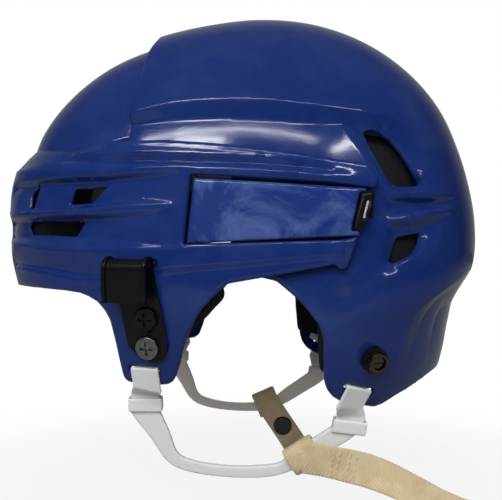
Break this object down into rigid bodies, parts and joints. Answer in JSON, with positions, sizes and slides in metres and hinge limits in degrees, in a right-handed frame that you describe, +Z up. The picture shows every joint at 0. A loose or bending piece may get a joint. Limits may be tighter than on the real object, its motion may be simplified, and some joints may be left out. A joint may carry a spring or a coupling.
{
  "type": "ice hockey helmet",
  "caption": "Two-shell ice hockey helmet with sliding length setting, side levers, foam liner, ear loops, fabric chin strap, cage clips and rear snaps.",
  "frame": {"origin": "midway between the wearer's ear openings, on the middle plane of the helmet", "axes": "+X to the face, +Y to the wearer's left, +Z up through the crown"},
  "size_m": [0.2626, 0.224, 0.2663],
  "materials": {
    "blue_shell_plastic": "glossy injection moulded",
    "black_foam": "soft closed-cell foam",
    "black_screw": "black finish worn at the slots",
    "zinc_insert": "zinc plated",
    "black_plastic": "satin moulded",
    "black_rubber": "smooth dip coated",
    "antique_brass": "antique, worn bright at the rims",
    "white_plastic": "soft satin",
    "beige_webbing": "woven narrow webbing"
  },
  "bodies": {
    "rear_shell_body": {"rear_shell": "blue_shell_plastic", "left_latch_rack": "black_plastic", "right_latch_rack": "black_plastic", "crown_pad": "black_foam", "nape_pad": "black_foam", "left_side_pad": "black_foam", "right_side_pad": "black_foam", "left_lobe_pad": "black_foam", "right_lobe_pad": "black_foam", "snap_spacers": "black_plastic", "snap_studs": "antique_brass", "snap_screws": "zinc_insert", "snap_inserts": "zinc_insert"},
    "front_shell_body": {"front_shell": "blue_shell_plastic", "forehead_pad": "black_foam", "dome_pad": "black_foam", "left_temple_pad": "black_foam", "right_temple_pad": "black_foam", "left_j_clip": "black_rubber", "right_j_clip": "black_rubber", "j_clip_screws": "black_screw", "j_clip_inserts": "zinc_insert", "left_lever_pin": "zinc_insert", "right_lever_pin": "zinc_insert"},
    "left_lever_body": {"left_length_lever": "blue_shell_plastic", "left_latch_pin": "zinc_insert"},
    "right_lever_body": {"right_length_lever": "blue_shell_plastic", "right_latch_pin": "zinc_insert"},
    "left_latch_body": {"left_release_latch": "black_plastic"},
    "right_latch_body": {"right_release_latch": "black_plastic"},
    "left_loop_body": {"left_ear_loop": "white_plastic", "left_front_hanger": "white_plastic", "left_rear_hanger": "white_plastic"},
    "right_loop_body": {"right_ear_loop": "white_plastic", "right_front_hanger": "white_plastic", "right_rear_hanger": "white_plastic"},
    "chin_strap_body": {"chin_strap": "beige_webbing", "chin_strap_button": "antique_brass", "chin_strap_washer": "antique_brass"}
  },
  "joints": [
    {"name": "front_slide", "type": "slide", "parent": "rear_shell_body", "child": "front_shell_body", "axis": [1, 0, 0], "range_m": [-0.008, 0], "deforming": ["left_ear_loop", "left_front_hanger", "left_rear_hanger", "right_ear_loop", "right_front_hanger", "right_rear_hanger"]},
    {"name": "left_lever_hinge", "type": "hinge", "parent": "front_shell_body", "child": "left_lever_body", "pos_m": [0.03318, 0.09563, 0.0799], "axis": [0.0976, 0.1585, -0.9825], "range_deg": [0, 75]},
    {"name": "right_lever_hinge", "type": "hinge", "parent": "front_shell_body", "child": "right_lever_body", "pos_m": [0.03318, -0.09563, 0.0799], "axis": [-0.0976, 0.1585, 0.9825], "range_deg": [0, 75]},
    {"name": "left_latch_hinge", "type": "hinge", "parent": "left_lever_body", "child": "left_latch_body", "pos_m": [-0.04671, 0.09393, 0.07462], "axis": [0.2575, 0.219, -0.9411], "range_deg": [0, 20]},
    {"name": "right_latch_hinge", "type": "hinge", "parent": "right_lever_body", "child": "right_latch_body", "pos_m": [-0.04671, -0.09393, 0.07462], "axis": [-0.2575, 0.219, 0.9411], "range_deg": [0, 20]},
    {"name": "left_loop_swing", "type": "hinge", "parent": "front_shell_body", "child": "left_loop_body", "pos_m": [0.05655, 0.09169, -0.00879], "axis": [0.9939, 0.048, 0.0997], "range_deg": [-12, 12]},
    {"name": "right_loop_swing", "type": "hinge", "parent": "front_shell_body", "child": "right_loop_body", "pos_m": [0.05655, -0.09169, -0.00879], "axis": [0.9939, -0.048, 0.0997], "range_deg": [-12, 12]},
    {"name": "chin_strap_swing", "type": "hinge", "parent": "left_loop_body", "child": "chin_strap_body", "pos_m": [-0.01914, 0.07759, -0.05272], "axis": [1, 0, 0], "range_deg": [-12, 12]}
  ],
  "couplings": [
    {"joint": "right_loop_swing", "follows": "left_loop_swing", "ratio": 1},
    {"joint": "chin_strap_swing", "follows": "left_loop_swing", "ratio": -1}
  ]
}
